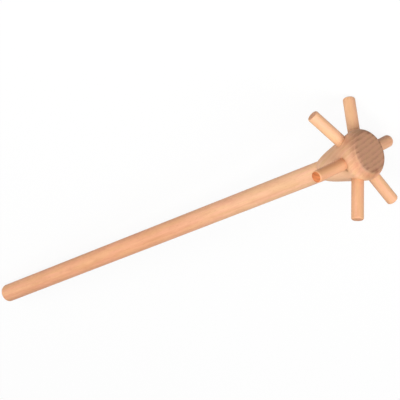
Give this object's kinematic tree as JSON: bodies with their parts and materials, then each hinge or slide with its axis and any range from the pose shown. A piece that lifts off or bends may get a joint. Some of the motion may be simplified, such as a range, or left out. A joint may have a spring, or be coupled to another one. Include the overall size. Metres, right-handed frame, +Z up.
{
  "type": "wooden twirling whisk",
  "caption": "Wooden twirling whisk: a long round handle with a turned pear-shaped head and a ring of short round pegs, spun between the palms to whip or stir.",
  "frame": {"origin": "on the table that the whisk lies on, in the middle of its length and width", "axes": "+Z up from the table, +X along the whisk towards its head, +Y across it"},
  "size_m": [0.2862, 0.0622, 0.0557],
  "materials": {
    "handle_wood": "sanded, bare",
    "head_wood": "turned and sanded, bare",
    "peg_wood": "sanded, bare"
  },
  "bodies": {
    "root": {"handle": "handle_wood", "head": "head_wood", "peg_1": "peg_wood", "peg_2": "peg_wood", "peg_3": "peg_wood", "peg_4": "peg_wood", "peg_5": "peg_wood", "peg_6": "peg_wood"}
  },
  "joints": []
}
